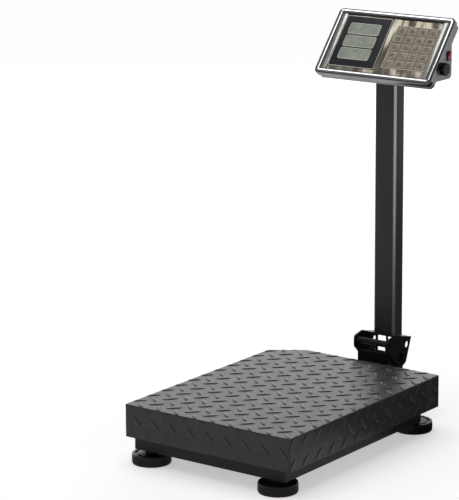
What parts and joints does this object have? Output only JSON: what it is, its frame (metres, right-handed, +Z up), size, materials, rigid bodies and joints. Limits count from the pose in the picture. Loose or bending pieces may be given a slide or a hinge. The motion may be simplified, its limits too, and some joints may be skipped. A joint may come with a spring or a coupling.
{
  "type": "platform shipping scale",
  "caption": "Floor platform scale with a chequered steel deck on levelling feet, a folding column at the rear and a tilting head with keypad and displays.",
  "frame": {"origin": "on the floor, under the middle of the overall box, 54.1 mm behind the centre of the deck", "axes": "+X to the right of a person at the keypad, +Y to the rear, from the deck towards the column, +Z up"},
  "size_m": [0.3, 0.5278, 0.6252],
  "materials": {
    "deck_paint": "satin dark grey, raised chequer pattern",
    "frame_paint": "satin black paint",
    "hinge_paint": "satin black paint",
    "steel": "zinc plated",
    "cell_alloy": "clear anodised",
    "rubber": "matt",
    "foot_plastic": "moulded foot",
    "black_plastic": "fine texture",
    "column_paint": "satin black paint",
    "housing_paint": "satin silver grey",
    "chrome_trim": "polished",
    "fascia_metal": "polished, warm tint",
    "panel_film": "printed film",
    "lcd_glass": "unlit display",
    "keypad_film": "printed film",
    "key_plastic": "printed film key",
    "board_green": "circuit board",
    "battery_case": "moulded case",
    "window_plastic": "dark window",
    "switch_black": "moulded",
    "switch_red": "moulded"
  },
  "bodies": {
    "base": {"side_rails": "frame_paint", "cross_rails": "frame_paint", "column_arm": "frame_paint", "bridge_plate": "frame_paint", "load_cell": "cell_alloy", "cell_spacers": "steel", "cell_bolts": "steel", "overload_stops": "steel", "foot_nuts": "steel", "deck_spider": "frame_paint", "deck_pads": "rubber", "deck_plate": "deck_paint", "hinge_bracket": "hinge_paint", "bracket_bolts": "steel", "hinge_pin": "steel"},
    "foot_front_left": {"foot_front_left": "foot_plastic"},
    "foot_front_right": {"foot_front_right": "foot_plastic"},
    "foot_rear_left": {"foot_rear_left": "foot_plastic"},
    "foot_rear_right": {"foot_rear_right": "foot_plastic"},
    "column": {"column_bracket": "hinge_paint", "tie_rod": "steel", "column_tube": "column_paint", "column_plug": "black_plastic", "head_neck": "hinge_paint"},
    "lever": {"lock_lever": "steel", "lever_grip": "black_plastic"},
    "head": {"head_bezel": "chrome_trim", "head_housing": "housing_paint", "fascia_plate": "fascia_metal", "display_panel": "panel_film", "lcd_modules": "lcd_glass", "keypad_film": "keypad_film", "main_board": "board_green", "housing_screws": "steel", "battery": "battery_case", "rear_window": "window_plastic", "rear_lcds": "lcd_glass", "rocker_frame": "switch_black"},
    "tilt_knob": {"tilt_knob": "black_plastic"},
    "rocker": {"power_rocker": "switch_red"},
    "key_row1_col1": {"key_row1_col1": "key_plastic"},
    "key_row1_col2": {"key_row1_col2": "key_plastic"},
    "key_row1_col3": {"key_row1_col3": "key_plastic"},
    "key_row1_col4": {"key_row1_col4": "key_plastic"},
    "key_row2_col1": {"key_row2_col1": "key_plastic"},
    "key_row2_col2": {"key_row2_col2": "key_plastic"},
    "key_row2_col3": {"key_row2_col3": "key_plastic"},
    "key_row2_col4": {"key_row2_col4": "key_plastic"},
    "key_row3_col1": {"key_row3_col1": "key_plastic"},
    "key_row3_col2": {"key_row3_col2": "key_plastic"},
    "key_row3_col3": {"key_row3_col3": "key_plastic"},
    "key_row3_col4": {"key_row3_col4": "key_plastic"},
    "key_row4_col1": {"key_row4_col1": "key_plastic"},
    "key_row4_col2": {"key_row4_col2": "key_plastic"},
    "key_row4_col3": {"key_row4_col3": "key_plastic"},
    "key_row4_col4": {"key_row4_col4": "key_plastic"},
    "key_row5_col1": {"key_row5_col1": "key_plastic"},
    "key_row5_col2": {"key_row5_col2": "key_plastic"},
    "key_row5_col3": {"key_row5_col3": "key_plastic"},
    "key_row5_col4": {"key_row5_col4": "key_plastic"}
  },
  "joints": [
    {"name": "column_fold", "type": "hinge", "parent": "base", "child": "column", "pos_m": [0, 0.1879, 0.108], "axis": [1, 0, 0], "range_deg": [0, 90]},
    {"name": "head_tilt", "type": "hinge", "parent": "column", "child": "head", "pos_m": [0, 0.2139, 0.552], "axis": [1, 0, 0], "range_deg": [-8, 12]},
    {"name": "tilt_knob_turn", "type": "hinge", "parent": "head", "child": "tilt_knob", "pos_m": [0.11, 0.2139, 0.552], "axis": [1, 0, 0], "continuous": true},
    {"name": "power_switch", "type": "hinge", "parent": "head", "child": "rocker", "pos_m": [0.1035, 0.2319, 0.57], "axis": [0, -1, 0], "range_deg": [0, 12]},
    {"name": "lock_lever_turn", "type": "hinge", "parent": "base", "child": "lever", "pos_m": [0, 0.2399, 0.05], "axis": [1, 0, 0], "range_deg": [0, 40]},
    {"name": "foot_front_left_turn", "type": "hinge", "parent": "base", "child": "foot_front_left", "pos_m": [-0.1155, -0.2346, 0], "axis": [0, 0, 1], "continuous": true},
    {"name": "foot_front_right_turn", "type": "hinge", "parent": "base", "child": "foot_front_right", "pos_m": [0.1155, -0.2346, 0], "axis": [0, 0, 1], "continuous": true},
    {"name": "foot_rear_left_turn", "type": "hinge", "parent": "base", "child": "foot_rear_left", "pos_m": [-0.1155, 0.1264, 0], "axis": [0, 0, 1], "continuous": true},
    {"name": "foot_rear_right_turn", "type": "hinge", "parent": "base", "child": "foot_rear_right", "pos_m": [0.1155, 0.1264, 0], "axis": [0, 0, 1], "continuous": true},
    {"name": "key_row1_col1_press", "type": "slide", "parent": "head", "child": "key_row1_col1", "axis": [0, 0.7683, -0.6401], "range_m": [0, 0.0006], "stiffness_N_per_m": 400},
    {"name": "key_row1_col2_press", "type": "slide", "parent": "head", "child": "key_row1_col2", "axis": [0, 0.7683, -0.6401], "range_m": [0, 0.0006], "stiffness_N_per_m": 400},
    {"name": "key_row1_col3_press", "type": "slide", "parent": "head", "child": "key_row1_col3", "axis": [0, 0.7683, -0.6401], "range_m": [0, 0.0006], "stiffness_N_per_m": 400},
    {"name": "key_row1_col4_press", "type": "slide", "parent": "head", "child": "key_row1_col4", "axis": [0, 0.7683, -0.6401], "range_m": [0, 0.0006], "stiffness_N_per_m": 400},
    {"name": "key_row2_col1_press", "type": "slide", "parent": "head", "child": "key_row2_col1", "axis": [0, 0.7683, -0.6401], "range_m": [0, 0.0006], "stiffness_N_per_m": 400},
    {"name": "key_row2_col2_press", "type": "slide", "parent": "head", "child": "key_row2_col2", "axis": [0, 0.7683, -0.6401], "range_m": [0, 0.0006], "stiffness_N_per_m": 400},
    {"name": "key_row2_col3_press", "type": "slide", "parent": "head", "child": "key_row2_col3", "axis": [0, 0.7683, -0.6401], "range_m": [0, 0.0006], "stiffness_N_per_m": 400},
    {"name": "key_row2_col4_press", "type": "slide", "parent": "head", "child": "key_row2_col4", "axis": [0, 0.7683, -0.6401], "range_m": [0, 0.0006], "stiffness_N_per_m": 400},
    {"name": "key_row3_col1_press", "type": "slide", "parent": "head", "child": "key_row3_col1", "axis": [0, 0.7683, -0.6401], "range_m": [0, 0.0006], "stiffness_N_per_m": 400},
    {"name": "key_row3_col2_press", "type": "slide", "parent": "head", "child": "key_row3_col2", "axis": [0, 0.7683, -0.6401], "range_m": [0, 0.0006], "stiffness_N_per_m": 400},
    {"name": "key_row3_col3_press", "type": "slide", "parent": "head", "child": "key_row3_col3", "axis": [0, 0.7683, -0.6401], "range_m": [0, 0.0006], "stiffness_N_per_m": 400},
    {"name": "key_row3_col4_press", "type": "slide", "parent": "head", "child": "key_row3_col4", "axis": [0, 0.7683, -0.6401], "range_m": [0, 0.0006], "stiffness_N_per_m": 400},
    {"name": "key_row4_col1_press", "type": "slide", "parent": "head", "child": "key_row4_col1", "axis": [0, 0.7683, -0.6401], "range_m": [0, 0.0006], "stiffness_N_per_m": 400},
    {"name": "key_row4_col2_press", "type": "slide", "parent": "head", "child": "key_row4_col2", "axis": [0, 0.7683, -0.6401], "range_m": [0, 0.0006], "stiffness_N_per_m": 400},
    {"name": "key_row4_col3_press", "type": "slide", "parent": "head", "child": "key_row4_col3", "axis": [0, 0.7683, -0.6401], "range_m": [0, 0.0006], "stiffness_N_per_m": 400},
    {"name": "key_row4_col4_press", "type": "slide", "parent": "head", "child": "key_row4_col4", "axis": [0, 0.7683, -0.6401], "range_m": [0, 0.0006], "stiffness_N_per_m": 400},
    {"name": "key_row5_col1_press", "type": "slide", "parent": "head", "child": "key_row5_col1", "axis": [0, 0.7683, -0.6401], "range_m": [0, 0.0006], "stiffness_N_per_m": 400},
    {"name": "key_row5_col2_press", "type": "slide", "parent": "head", "child": "key_row5_col2", "axis": [0, 0.7683, -0.6401], "range_m": [0, 0.0006], "stiffness_N_per_m": 400},
    {"name": "key_row5_col3_press", "type": "slide", "parent": "head", "child": "key_row5_col3", "axis": [0, 0.7683, -0.6401], "range_m": [0, 0.0006], "stiffness_N_per_m": 400},
    {"name": "key_row5_col4_press", "type": "slide", "parent": "head", "child": "key_row5_col4", "axis": [0, 0.7683, -0.6401], "range_m": [0, 0.0006], "stiffness_N_per_m": 400}
  ]
}
